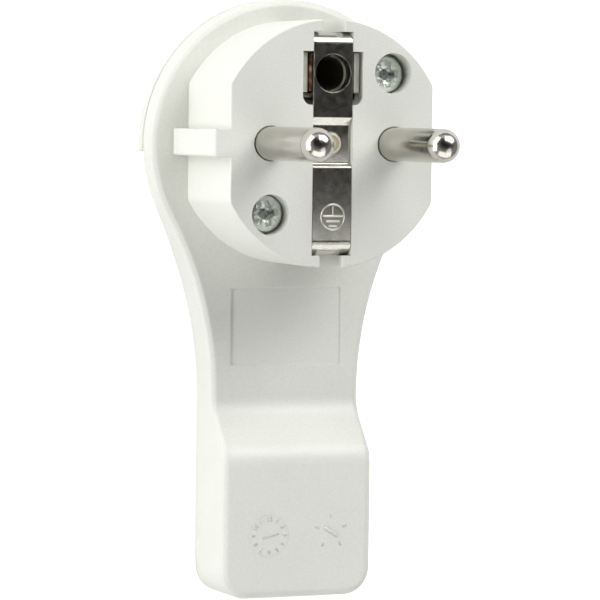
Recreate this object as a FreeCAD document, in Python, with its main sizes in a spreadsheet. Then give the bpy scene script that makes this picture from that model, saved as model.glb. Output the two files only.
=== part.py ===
# Flat earthed mains plug, types E and F, with a long paddle handle.
# Millimetres. The origin is midway between the two line pins on the engagement face.
# +Z points out along the pins, +Y towards the round head, and the handle reaches towards -Y.
import FreeCAD, Part
import Sketcher
import math
import os
import re

doc = FreeCAD.newDocument("FlatPlug")
sheet = doc.addObject("Spreadsheet::Sheet", "Sizes")

SIZES = [
    ("pin_spacing", 19.0, "between the axes of the line pins"),
    ("pin_radius", 2.4, "line pin"),
    ("pin_reach", 19.0, "line pin, from the engagement face to its tip"),
    ("pin_gap", 0.1, "round the pin in the face of the carrier"),
    ("pin_rim", 0.6, "depth of the relief round a pin in the carrier"),
    ("neck_radius", 2.2, "neck of a line pin inside the carrier"),
    ("neck_end", 0.1, "end of a line pin's neck in front of the face"),
    ("neck_gap", 0.05, "round the neck of a line pin"),
    ("collar_radius", 3.4, "collar of a line pin behind the face"),
    ("collar_height", 1.5, "collar of a line pin"),
    ("tail_radius", 2.0, "tail of a line pin in its terminal"),
    ("tail_length", 4.3, "tail of a line pin inside its terminal"),
    ("cavity_gap", 0.1, "between a pin's collar and the carrier's skirt"),
    ("spigot_wall", 1.25, "skirt of the carrier inside the paddle's opening"),
    ("spigot_step", 3.45, "from the carrier's skirt out to the boss's round side"),
    ("flat_depth", 2.1, "side flat of the boss inside its round side"),
    ("flat_round", 1.5, "edges of the boss's side flats"),
    ("boss_depth", 16.6, "from the engagement face to the paddle"),
    ("boss_edge", 0.15, "bevel of the boss's front edge"),
    ("rib_proud", 0.3, "side rib of the boss beyond its round side"),
    ("rib_width", 3.9, "side rib of the boss"),
    ("rib_edge", 0.4, "rounding of a side rib"),
    ("slot_width", 3.6, "slot for the outlet's earth clip"),
    ("slot_depth", 1.85, "earth clip's slot, from the boss's round side to the strip"),
    ("face_wall", 3.2, "front wall of the carrier"),
    ("seat_gap", 0.15, "round pieces that drop into their seats"),
    ("screw_angle", 47.2, "case screws from the line through the pins, in degrees"),
    ("recess_gap", 0.25, "round a case screw's head in its recess"),
    ("recess_depth", 3.8, "seat of a case screw's head below the face"),
    ("post_wall", 0.5, "wall of a screw post round the recess"),
    ("post_margin", 0.54, "from a screw post out to the boss's round side"),
    ("shank_radius", 1.5, "shank of a case screw"),
    ("shank_gap", 0.1, "round a screw's shank"),
    ("head_screw_radius", 2.65, "head of a case screw"),
    ("head_screw_rim", 1.2, "straight rim of a case screw's head"),
    ("head_screw_bevel", 0.8, "bevel of a case screw's head"),
    ("tip_gap", 0.3, "from a case screw's tip to the end of its insert"),
    ("window_gap", 0.25, "beside the contact spring in the earth window"),
    ("window_up", 3.1, "earth window above the socket's axis"),
    ("window_down", 4.5, "earth window below the socket's axis"),
    ("window_round", 1.3, "lower corners of the earth window"),
    ("hole_margin", 0.27, "hole in the earth strip round the socket's bore"),
    ("strip_edge", 0.28, "earth strip beside its hole"),
    ("strip_gap", 0.06, "beside the earth strip in its channel"),
    ("strip_sheet", 0.8, "thickness of the earth strip"),
    ("strip_sunk", 0.05, "earth strip below the face"),
    ("strip_bend", 1.75, "outer radius of the strip's end bends"),
    ("strip_leg", 13.0, "reach of the strip's legs behind the face"),
    ("leg_gap", 0.3, "under the ends of the strip's legs"),
    ("joggle_high", 3.7, "start of the joggle towards the earth hole"),
    ("joggle_low", 3.3, "start of the joggle away from the earth hole"),
    ("joggle_depth", 0.7, "depth of the joggle in the strip"),
    ("joggle_run", 1.0, "slope of the upper joggle"),
    ("joggle_steep", 0.5, "slope of the lower joggle"),
    ("joggle_shift", 0.1, "rear face of a joggle beyond its front face"),
    ("joggle_round", 0.32, "bends of the joggle"),
    ("stud_radius", 1.6, "stud of the bridge through the strip"),
    ("stud_gap", 0.05, "round the stud of the bridge"),
    ("stud_sunk", 0.45, "end of the stud below the face"),
    ("stud_bevel", 0.3, "bevel of the stud's end"),
    ("bridge_half", 3.0, "half the height of the bridge's bar"),
    ("bridge_end", 2.8, "bridge's bar beyond the axis of a line pin"),
    ("bridge_sheet", 2.5, "thickness of the bridge"),
    ("arm_past", 2.3, "bridge's arm beyond the earth terminal screw"),
    ("arm_half", 3.0, "half the width of the bridge's arm"),
    ("earth_head_gap", 0.9, "from the earth terminal screw's head to the earth socket"),
    ("earth_post", 2.2, "post of the bridge under the earth terminal"),
    ("earth_post_height", 2.3, "post of the bridge under the earth terminal"),
    ("socket_radius", 2.45, "bore of the earth socket"),
    ("socket_wall", 0.35, "wall of the earth socket"),
    ("socket_clear", 2.25, "from the earth socket to the strip's upper leg"),
    ("socket_front", 2.0, "front rim of the earth socket below the face"),
    ("socket_tail", 2.2, "earth socket behind its tab"),
    ("socket_slit", 0.7, "slit along the earth socket"),
    ("slit_end", 1.0, "from the end of the slit to the socket's tab"),
    ("tab_sheet", 0.8, "thickness of the earth socket's tab"),
    ("tab_half", 2.6, "half the width of the earth socket's tab"),
    ("tab_past", 2.5, "earth socket's tab beyond its screw"),
    ("spring_clear", 0.8, "from the earth socket to the contact spring's arms"),
    ("spring_sheet", 0.8, "thickness of the contact spring's arms"),
    ("spring_web", 0.55, "web of the contact spring"),
    ("spring_touch", 0.05, "between the contact spring and the socket where they meet"),
    ("spring_front", 1.0, "front edge of the contact spring below the face"),
    ("spring_gap", 0.2, "above the contact spring in the earth window"),
    ("spring_step", 0.15, "contact spring's front part above its web"),
    ("tab_gap", 0.3, "from the contact spring to the earth socket's tab"),
    ("pinch_front", 5.0, "front of the spring's pinch below the face"),
    ("pinch_rear", 7.0, "rear of the spring's pinch below the face"),
    ("pinch_half", 1.2, "half the height of the spring's pinch"),
    ("clamp_half", 2.4, "half the width of the earth clamp plate"),
    ("clamp_sheet", 0.7, "thickness of the earth clamp plate"),
    ("terminal_half", 3.0, "half the width of a line terminal"),
    ("terminal_end", 0.6, "line terminal behind its wire hole"),
    ("wire_radius", 1.4, "wire hole of a line terminal"),
    ("wire_gap", 0.1, "between a pin's tail and the wire hole"),
    ("terminal_screw_radius", 1.5, "terminal screw"),
    ("terminal_screw_proud", 0.9, "terminal screw behind its terminal"),
    ("earth_head_radius", 2.4, "head of the earth terminal screw"),
    ("earth_head_height", 1.6, "head of the earth terminal screw"),
    ("earth_screw_bite", 0.5, "earth terminal screw's tip inside the bridge's bar"),
    ("driver_slot", 0.7, "slot in a terminal or clamp screw"),
    ("driver_depth", 0.8, "depth of the slot in a terminal or clamp screw"),
    ("head_margin", 3.7, "round head of the paddle outside the boss"),
    ("head_drop", 0.5, "centre of the head below the pins' centre"),
    ("waist_half", 11.8, "half the width of the handle"),
    ("neck_length", 19.3, "from the boss's edge to where the neck reaches the handle's width"),
    ("block_length", 19.4, "flat top of the handle's block, from the ramp to the end"),
    ("end_corner", 4.0, "corners of the handle's end"),
    ("paddle_depth", 6.2, "from the paddle's face to the back plane"),
    ("block_rise", 5.3, "handle's block above the paddle's face"),
    ("ramp_gap", 4.6, "from the label recess to the ramp"),
    ("ramp_angle", 40.0, "slope of the ramp, in degrees"),
    ("ramp_radius", 4.6, "both bends of the ramp"),
    ("edge_round", 1.3, "front edge of the paddle, in two bevels"),
    ("rear_bevel", 0.3, "rear edge of the housing's side wall"),
    ("side_wall", 1.8, "side wall of the housing"),
    ("front_wall", 1.5, "front wall of the housing"),
    ("end_wall", 4.0, "end wall of the housing round the cord inlet"),
    ("wall_short", 0.5, "side wall's rear edge in front of the back plane"),
    ("rim_height", 2.8, "cover's rim round the upper head"),
    ("rim_bevel", 1.2, "rear edge of the cover's rim"),
    ("rim_end", 1.5, "end of the cover's rim below the pins' centre"),
    ("grip_start", 9.5, "head end of the grip curve in the side wall"),
    ("grip_length", 14.5, "grip curve in the side wall"),
    ("lip_length", 5.0, "cover's lip at the handle's end"),
    ("lip_height", 1.2, "cover's lip at the handle's end"),
    ("lip_bevel", 0.9, "rear edge of the cover's lip"),
    ("cover_sheet", 1.5, "thickness of the back cover"),
    ("cover_gap", 0.1, "round the back cover"),
    ("cover_seam", 0.02, "between the side wall and the cover's rim and lip"),
    ("skirt_sheet", 1.2, "skirt of the back cover"),
    ("skirt_height", 2.4, "skirt of the back cover above its plate"),
    ("skirt_past", 4.3, "end of the skirt below the boss"),
    ("insert_wall", 1.0, "wall of the threaded insert at its flats"),
    ("insert_length", 3.2, "threaded insert in the cover's post"),
    ("insert_sunk", 0.3, "threaded insert inside the cover's plate"),
    ("label_margin", 3.2, "from the label recess to the handle's side"),
    ("label_gap", 3.6, "from the boss to the label recess"),
    ("label_length", 11.3, "label recess along the handle"),
    ("label_depth", 0.12, "depth of the label recess"),
    ("block_inset", 0.1, "from the ramp's end to the hollow in the block"),
    ("inlet_radius", 3.8, "cord inlet"),
    ("inlet_height", 6.2, "axis of the cord inlet in front of the back plane"),
    ("inlet_flare", 0.4, "chamfer at the mouth of the cord inlet"),
    ("clamp_inset", 7.0, "cord clamp from the end wall"),
    ("clamp_side_gap", 0.6, "from the cord clamp to the side wall"),
    ("clamp_edge", 2.2, "cord clamp outside its screws"),
    ("clamp_post", 1.9, "post under the cord clamp"),
    ("clamp_height", 5.2, "cord clamp in front of the back plane"),
    ("clamp_bar", 1.4, "thickness of the cord clamp"),
    ("clamp_width", 5.0, "cord clamp along the handle"),
    ("arch_slope", 1.6, "slope of the cord clamp's arch"),
    ("arch_inset", 0.3, "inside of the arch's bend"),
    ("arch_rise", 1.7, "rise of the cord clamp's arch"),
    ("clamp_screw_radius", 1.25, "shank of a cord clamp screw"),
    ("clamp_head_radius", 2.1, "head of a cord clamp screw"),
    ("clamp_head_height", 1.5, "head of a cord clamp screw"),
    ("clamp_head_gap", 0.1, "from a cord clamp screw's head to the arch"),
    ("clamp_screw_end", 1.5, "from a cord clamp screw's tip to the front wall"),
    ("rib_sheet", 0.8, "grip ribs and wire guides"),
    ("rib_height", 0.9, "grip ribs under the cord"),
    ("grip_half", 3.4, "half the length of a grip rib"),
    ("guide_across", 3.3, "wire guides of the cover from the middle"),
    ("guide_gap", 1.0, "from the skirt to the wire guides"),
    ("guide_length", 21.0, "wire guides of the cover"),
    ("guide_height", 2.7, "wire guides above the cover's plate"),
    ("overcut", 1.0, "how far a cut runs past the surface"),
    ("root", 0.5, "how far an added rib or post is rooted in its wall"),
]

for row, (alias, value, meaning) in enumerate(SIZES, 1):
    sheet.set("A%d" % row, meaning)
    sheet.set("B%d" % row, str(value))
    sheet.setAlias("B%d" % row, alias)
doc.recompute()

ALIASES = {alias for alias, value, meaning in SIZES}


def formula(text):
    """The text with the sheet's name in front of every alias."""
    def name_cell(match):
        word = match.group(0)
        return "Sizes." + word if word in ALIASES else word
    return re.sub(r"[a-z_]+", name_cell, str(text))


def number(text):
    """The value of a formula."""
    return float(sheet.evalExpression(formula(text)))


# Formulas that several pieces share: places across and along the handle
PIN_ACROSS = "(pin_spacing / 2)"
CAVITY_RADIUS = "(%s + collar_radius + cavity_gap)" % PIN_ACROSS
SPIGOT_RADIUS = "(%s + spigot_wall)" % CAVITY_RADIUS
BOSS_RADIUS = "(%s + spigot_step)" % SPIGOT_RADIUS
BOSS_FLAT = "(%s - flat_depth)" % BOSS_RADIUS
RIB_REACH = "(%s + rib_proud)" % BOSS_RADIUS
CLIP_REACH = "(%s - slot_depth)" % BOSS_RADIUS
SOCKET_OUT = "(socket_radius + socket_wall)"
EARTH_UP = "(%s - strip_sheet - socket_clear - %s)" % (CLIP_REACH, SOCKET_OUT)
EARTH_HOLE = "(socket_radius + hole_margin)"
STRIP_HALF = "(%s + strip_edge)" % EARTH_HOLE
CHANNEL_HALF = "(%s + strip_gap)" % STRIP_HALF
SPRING_OUT = "(%s + spring_clear + spring_sheet)" % SOCKET_OUT
WINDOW_HALF = "(%s + window_gap)" % SPRING_OUT
WINDOW_TOP = "(%s + window_up)" % EARTH_UP
WINDOW_LOW = "(%s - window_down)" % EARTH_UP
EARTH_SCREW_UP = "(%s - %s - earth_head_gap - earth_head_radius)" % (EARTH_UP, SOCKET_OUT)
RECESS_RADIUS = "(head_screw_radius + recess_gap)"
POST_RADIUS = "(%s + post_wall)" % RECESS_RADIUS
SCREW_CIRCLE = "(%s - %s - post_margin)" % (BOSS_RADIUS, POST_RADIUS)
SCREW_ACROSS = "(%s * cos(screw_angle))" % SCREW_CIRCLE
SCREW_UP = "(%s * sin(screw_angle))" % SCREW_CIRCLE
INSERT_FLAT = "(shank_radius + insert_wall)"
HEAD_RADIUS = "(%s + head_margin)" % BOSS_RADIUS
WAIST_DROP = "(%s + neck_length)" % BOSS_RADIUS
NECK_RADIUS = "((waist_half^2 + (%s - head_drop)^2 - %s^2) / (2 * (%s - waist_half)))" % (
    WAIST_DROP, HEAD_RADIUS, HEAD_RADIUS)
LABEL_TOP = "(%s + label_gap)" % BOSS_RADIUS
LABEL_LOW = "(%s + label_length)" % LABEL_TOP
RAMP_START = "(%s + ramp_gap)" % LABEL_LOW
RAMP_END = ("(%s + 2 * ramp_radius * sin(ramp_angle)"
            " + (block_rise - 2 * ramp_radius * (1 - cos(ramp_angle))) / tan(ramp_angle))") % RAMP_START
END_DROP = "(%s + block_length)" % RAMP_END
LIP_START = "(%s - lip_length)" % END_DROP
CLAMP_DROP = "(%s - end_wall - clamp_inset)" % END_DROP
CLAMP_REACH = "(waist_half - side_wall - clamp_side_gap)"
CLAMP_ACROSS = "(%s - clamp_edge)" % CLAMP_REACH
SKIRT_END = "(%s + skirt_past)" % BOSS_RADIUS
COVER_INSET = "(side_wall + cover_gap)"
OUTSIDE = "(2 * %s)" % END_DROP

# Formulas that several pieces share: depths behind the engagement face
COLLAR_REAR = "(face_wall + collar_height)"
BRIDGE_REAR = "(%s + bridge_sheet)" % COLLAR_REAR
WIRE_LEVEL = "(%s + tail_length + wire_gap + wire_radius)" % BRIDGE_REAR
TERMINAL_REAR = "(%s + wire_radius + terminal_end)" % WIRE_LEVEL
TAB_LEVEL = "(%s + earth_post_height)" % BRIDGE_REAR
SOCKET_REAR = "(%s + tab_sheet + socket_tail)" % TAB_LEVEL
SPRING_REAR = "(%s - tab_gap)" % TAB_LEVEL
STRIP_REAR = "(strip_sunk + strip_sheet)"
HOUSING_INSIDE = "(boss_depth + front_wall)"
BLOCK_FACE = "(boss_depth - block_rise)"
BLOCK_INSIDE = "(%s + front_wall)" % BLOCK_FACE
PADDLE_REAR = "(boss_depth + paddle_depth)"
COVER_INSIDE = "(%s - cover_sheet)" % PADDLE_REAR
WALL_REAR = "(%s - wall_short)" % PADDLE_REAR
HEAD_WALL_REAR = "(%s - rim_height)" % PADDLE_REAR
LIP_FRONT = "(%s - lip_height)" % PADDLE_REAR
SKIRT_FRONT = "(%s - skirt_height)" % COVER_INSIDE
INSERT_REAR = "(%s + insert_sunk)" % COVER_INSIDE
INLET_LEVEL = "(%s - inlet_height)" % PADDLE_REAR
CLAMP_LEVEL = "(%s - clamp_height)" % PADDLE_REAR

# A length below which two places count as the same
NEAR = 1e-4


def new_body(label):
    body = doc.addObject("PartDesign::Body", label)
    body.Label = label
    return body


def new_sketch(body, name, plane, lift):
    """A sketch parallel to one of the body's own origin planes, lifted along its normal."""
    sketch = body.newObject("Sketcher::SketchObject", name)
    for feature in body.Origin.OriginFeatures:
        if feature.Role == plane:
            sketch.AttachmentSupport = (feature, [""])
    sketch.MapMode = "FlatFace"
    sketch.setExpression("AttachmentOffset.Base.z", formula(lift))
    return sketch


def bind(sketch, kind, value, *places):
    """A dimension of the sketch that follows a formula."""
    index = sketch.addConstraint(Sketcher.Constraint(kind, *places, number(value)))
    sketch.setExpression("Constraints[%d]" % index, formula(value))


def fix_point(sketch, curve, place, x, y):
    """Dimensions from the origin to one point of a curve."""
    origin, origin_place, across_axis, up_axis = -1, 1, -1, -2
    if x == "0":
        sketch.addConstraint(Sketcher.Constraint("PointOnObject", curve, place, up_axis))
    else:
        bind(sketch, "DistanceX", x, origin, origin_place, curve, place)
    if y == "0":
        sketch.addConstraint(Sketcher.Constraint("PointOnObject", curve, place, across_axis))
    else:
        bind(sketch, "DistanceY", y, origin, origin_place, curve, place)


def disc(x, y, radius):
    """A circle for a sketch."""
    def draw(sketch):
        centre = FreeCAD.Vector(number(x), number(y), 0)
        circle = Part.Circle(centre, FreeCAD.Vector(0, 0, 1), number(radius))
        curve = sketch.addGeometry(circle, False)
        fix_point(sketch, curve, 3, x, y)
        bind(sketch, "Radius", radius, curve)
    return draw


def arc_between(start, end, radius, turn):
    """The short arc from start to end that turns left or right on its way."""
    chord = end - start
    side = FreeCAD.Vector(-chord.y, chord.x, 0).normalize()
    if turn == "right":
        side = side * -1
    height = math.sqrt(max(radius ** 2 - (chord.Length / 2) ** 2, 0))
    centre = start + chord * 0.5 + side * height
    circle = Part.Circle(centre, FreeCAD.Vector(0, 0, 1), radius)
    first, last = (start, end) if turn == "left" else (end, start)
    angles = [math.atan2(point.y - centre.y, point.x - centre.x) for point in (first, last)]
    if angles[1] < angles[0]:
        angles[1] += 2 * math.pi
    return Part.ArcOfCircle(circle, angles[0], angles[1])


def outline(*corners):
    """A closed run of corners: x and y, and a radius and turn where an arc leads on."""
    def draw(sketch):
        points = [FreeCAD.Vector(number(corner[0]), number(corner[1]), 0) for corner in corners]
        ends = []
        for index, corner in enumerate(corners):
            start, end = points[index], points[(index + 1) % len(points)]
            if len(corner) == 2:
                curve = sketch.addGeometry(Part.LineSegment(start, end), False)
                ends.append((curve, 1, 2))
            else:
                arc = arc_between(start, end, number(corner[2]), corner[3])
                curve = sketch.addGeometry(arc, False)
                ends.append((curve, 1, 2) if corner[3] == "left" else (curve, 2, 1))
        for index, (curve, first, last) in enumerate(ends):
            following = ends[(index + 1) % len(ends)]
            sketch.addConstraint(Sketcher.Constraint("Coincident", curve, last,
                                                     following[0], following[1]))
        for corner, (curve, first, last) in zip(corners, ends):
            fix_point(sketch, curve, first, corner[0], corner[1])
            if len(corner) == 4:
                bind(sketch, "Radius", corner[2], curve)
    return draw


def block(left, right, low, high):
    """A rectangle for a sketch."""
    return outline((left, low), (right, low), (right, high), (left, high))


def feature_from(kind, body, name, plane, low, high, shapes):
    """A pad or pocket of the shapes between two levels along the plane's axis."""
    lift = "-(%s)" % high if plane == "XZ_Plane" else low
    sketch = new_sketch(body, name + "_sketch", plane, lift)
    for draw in shapes:
        draw(sketch)
    feature = body.newObject(kind, name)
    feature.Profile = sketch
    feature.setExpression("Length", formula("(%s) - (%s)" % (high, low)))
    return feature


def pad(body, name, plane, low, high, *shapes):
    feature = feature_from("PartDesign::Pad", body, name, plane, low, high, shapes)
    doc.recompute()
    return feature


def pocket(body, name, plane, low, high, *shapes):
    before = body.Shape.Volume
    feature = feature_from("PartDesign::Pocket", body, name, plane, low, high, shapes)
    feature.Reversed = True
    doc.recompute()
    if body.Shape.Volume > before - 1e-6:
        raise RuntimeError("%s cuts nothing from %s" % (name, body.Label))
    return feature


def meeting_angle(shape, edge):
    """The angle in degrees between the normals of the two faces that meet at an edge."""
    middle = edge.valueAt((edge.FirstParameter + edge.LastParameter) / 2)
    faces = shape.ancestorsOfType(edge, Part.Face)
    if len(faces) < 2:
        return 0
    first, second = [face.normalAt(*face.Surface.parameter(middle)) for face in faces[:2]]
    return math.degrees(first.getAngle(second))


def round_edges(body, name, radius, picks, kind="Fillet", second=None):
    """A fillet or chamfer on the edges of the body's last feature that picks accepts.
    A second size makes a chamfer uneven."""
    base = body.Tip
    names = ["Edge%d" % index for index, edge in enumerate(base.Shape.Edges, 1) if picks(edge)]
    if not names:
        raise RuntimeError("%s finds no edge on %s" % (name, body.Label))
    feature = body.newObject("PartDesign::" + kind, name)
    feature.Base = (base, names)
    feature.setExpression("Radius" if kind == "Fillet" else "Size", formula(radius))
    if second:
        feature.ChamferType = "Two distances"
        feature.setExpression("Size2", formula(second))
    doc.recompute()
    return feature


def revolve(body, name, *corners):
    """A full turn of a profile round the body's Z axis."""
    sketch = new_sketch(body, name + "_sketch", "XZ_Plane", "0")
    outline(*corners)(sketch)
    feature = body.newObject("PartDesign::Revolution", name)
    feature.Profile = sketch
    feature.ReferenceAxis = (sketch, ["V_Axis"])
    feature.Angle = 360
    doc.recompute()
    return feature


def move(body, x="0", y="0", z="0"):
    for axis, value in (("x", x), ("y", y), ("z", z)):
        body.setExpression("Placement.Base." + axis, formula(value))


def flat_at(edge, level):
    """Whether an edge lies wholly at one height."""
    box = edge.BoundBox
    return abs(box.ZMin - level) < 1e-4 and abs(box.ZMax - level) < 1e-4


def hexagon(x, y, flat):
    """A hexagon for a sketch, given its middle and the distance from there to a flat."""
    half, corner = "(%s) / sqrt(3)" % flat, "2 * (%s) / sqrt(3)" % flat
    return outline(
        ("%s + %s" % (x, corner), y),
        ("%s + %s" % (x, half), "%s + %s" % (y, flat)),
        ("%s - %s" % (x, half), "%s + %s" % (y, flat)),
        ("%s - %s" % (x, corner), y),
        ("%s - %s" % (x, half), "%s - %s" % (y, flat)),
        ("%s + %s" % (x, half), "%s - %s" % (y, flat)))


def paddle_outline(inset="0", end_inset="0"):
    """The plan of the paddle: round head, concave neck and straight handle."""
    head = "(%s - %s)" % (HEAD_RADIUS, inset)
    neck = "(%s + %s)" % (NECK_RADIUS, inset)
    half = "(waist_half - %s)" % inset
    corner = "(end_corner - %s)" % inset
    end = "(%s - %s)" % (END_DROP, end_inset)
    share = "(%s / (%s + %s))" % (head, HEAD_RADIUS, NECK_RADIUS)
    tangent_x = "(waist_half + %s) * %s" % (NECK_RADIUS, share)
    tangent_y = "-head_drop - (%s - head_drop) * %s" % (WAIST_DROP, share)
    top = "%s - head_drop" % head
    waist = "-" + WAIST_DROP
    corner_y = "-(%s - %s)" % (end, corner)
    corner_x = "(%s - %s)" % (half, corner)
    return outline(
        (half, corner_y),
        (half, waist, neck, "right"),
        (tangent_x, tangent_y, head, "left"),
        ("0", top, head, "left"),
        ("-" + tangent_x, tangent_y, neck, "right"),
        ("-" + half, waist),
        ("-" + half, corner_y, corner, "left"),
        ("-" + corner_x, "-" + end),
        (corner_x, "-" + end, corner, "left"))


def make_housing():
    """The paddle: a moulded shell, open at the back, with the cord inlet in its end wall."""
    body = new_body("housing")
    pad(body, "Paddle", "XY_Plane", "-" + WALL_REAR, "-" + BLOCK_FACE, paddle_outline())
    half = "(%s + overcut)" % HEAD_RADIUS
    ramp_low_y = "-(%s + ramp_radius * sin(ramp_angle))" % RAMP_START
    ramp_low_z = "-boss_depth + ramp_radius * (1 - cos(ramp_angle))"
    ramp_high_y = "-(%s - ramp_radius * sin(ramp_angle))" % RAMP_END
    ramp_high_z = "-%s - ramp_radius * (1 - cos(ramp_angle))" % BLOCK_FACE
    pocket(body, "FrontProfile", "YZ_Plane", "-" + half, half, outline(
        (OUTSIDE, "-boss_depth"),
        ("-" + RAMP_START, "-boss_depth", "ramp_radius", "right"),
        (ramp_low_y, ramp_low_z),
        (ramp_high_y, ramp_high_z, "ramp_radius", "left"),
        ("-" + RAMP_END, "-" + BLOCK_FACE),
        ("-" + RAMP_END, "overcut"),
        (OUTSIDE, "overcut")))
    grip_rise = "(%s - %s)" % (WALL_REAR, HEAD_WALL_REAR)
    grip_radius = "(grip_length^2 + %s^2) / (2 * %s)" % (grip_rise, grip_rise)
    grip_end = "-(grip_start + grip_length)"
    pocket(body, "RearProfile", "YZ_Plane", "-" + half, half, outline(
        ("-" + OUTSIDE, "-" + OUTSIDE),
        (OUTSIDE, "-" + OUTSIDE),
        (OUTSIDE, "-" + HEAD_WALL_REAR),
        ("-grip_start", "-" + HEAD_WALL_REAR, grip_radius, "right"),
        (grip_end, "-" + WALL_REAR),
        ("-" + LIP_START, "-" + WALL_REAR),
        ("-" + LIP_START, "-" + LIP_FRONT),
        ("-" + OUTSIDE, "-" + LIP_FRONT)))
    face, end = number("-boss_depth"), number("-" + END_DROP)

    def front_edge(edge):
        box = edge.BoundBox
        crosses = box.YLength < NEAR and box.YMin > end + NEAR
        return box.ZMin > face - NEAR and not crosses
    reach = "edge_round * (1 - tan(15))"
    round_edges(body, "FrontBevel", reach, front_edge, "Chamfer", reach + " * tan(30)")
    bevelled = body.Tip.Shape

    def bevel_edge(edge):
        return abs(meeting_angle(bevelled, edge) - 60) < 15
    round_edges(body, "FrontEase", reach + " * (1 - tan(30))", bevel_edge, "Chamfer")
    rear, lip = number("-" + HEAD_WALL_REAR), number("-" + LIP_START)

    def rear_edge(edge):
        box = edge.BoundBox
        return box.ZMax < rear + NEAR and box.YLength > NEAR and box.YMax > lip + NEAR
    round_edges(body, "RearEdge", "rear_bevel", rear_edge, "Chamfer")
    pocket(body, "Hollow", "XY_Plane", "-" + OUTSIDE, "-" + HOUSING_INSIDE,
           paddle_outline("side_wall", "end_wall"))
    pocket(body, "BlockHollow", "XY_Plane", "-%s - root" % HOUSING_INSIDE, "-" + BLOCK_INSIDE,
           block("-(waist_half - side_wall)", "waist_half - side_wall",
                 "-(%s - end_wall)" % END_DROP, "-(%s + block_inset)" % RAMP_END))
    seat_low, seat_high = "-%s - overcut" % HOUSING_INSIDE, "-boss_depth + overcut"
    pocket(body, "CarrierSeat", "XY_Plane", seat_low, seat_high,
           disc("0", "0", "%s + seat_gap" % SPIGOT_RADIUS))
    for side, sign in (("Upper", ""), ("Lower", "-")):
        pocket(body, side + "PostSeat", "XY_Plane", seat_low, seat_high,
               disc(sign + SCREW_ACROSS, sign + SCREW_UP, "%s + seat_gap" % POST_RADIUS))
    pocket(body, "LabelRecess", "XY_Plane", "-boss_depth - label_depth", seat_high,
           block("-(waist_half - label_margin)", "waist_half - label_margin",
                 "-" + LABEL_LOW, "-" + LABEL_TOP))
    ceiling = "-%s + root" % BLOCK_INSIDE
    for side, sign in (("Left", "-"), ("Right", "")):
        place = (sign + CLAMP_ACROSS, "-" + CLAMP_DROP)
        pad(body, side + "ClampPost", "XY_Plane", "-" + CLAMP_LEVEL, ceiling,
            disc(*place, "clamp_post"))
        pocket(body, side + "ClampPilot", "XY_Plane", "-%s - overcut" % CLAMP_LEVEL,
               "-%s - clamp_screw_end" % BLOCK_INSIDE, disc(*place, "clamp_screw_radius"))
    for side, sign in (("Head", "+"), ("Middle", "+ 0 *"), ("End", "-")):
        middle = "(-%s %s clamp_width / 2)" % (CLAMP_DROP, sign)
        pad(body, side + "GripRib", "XY_Plane", "-%s - rib_height" % BLOCK_INSIDE, ceiling,
            block("-grip_half", "grip_half", middle + " - rib_sheet / 2", middle + " + rib_sheet / 2"))
    pocket(body, "CordInlet", "XZ_Plane", "-%s - overcut" % END_DROP, "-(%s - end_wall)" % END_DROP,
           disc("0", "-" + INLET_LEVEL, "inlet_radius"))

    def inlet_mouth(edge):
        box = edge.BoundBox
        round_mouth = abs(box.ZLength - number("2 * inlet_radius")) < NEAR
        return abs(box.YMax - end) < NEAR and round_mouth
    round_edges(body, "InletFlare", "inlet_flare", inlet_mouth, "Chamfer")
    return body


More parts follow.
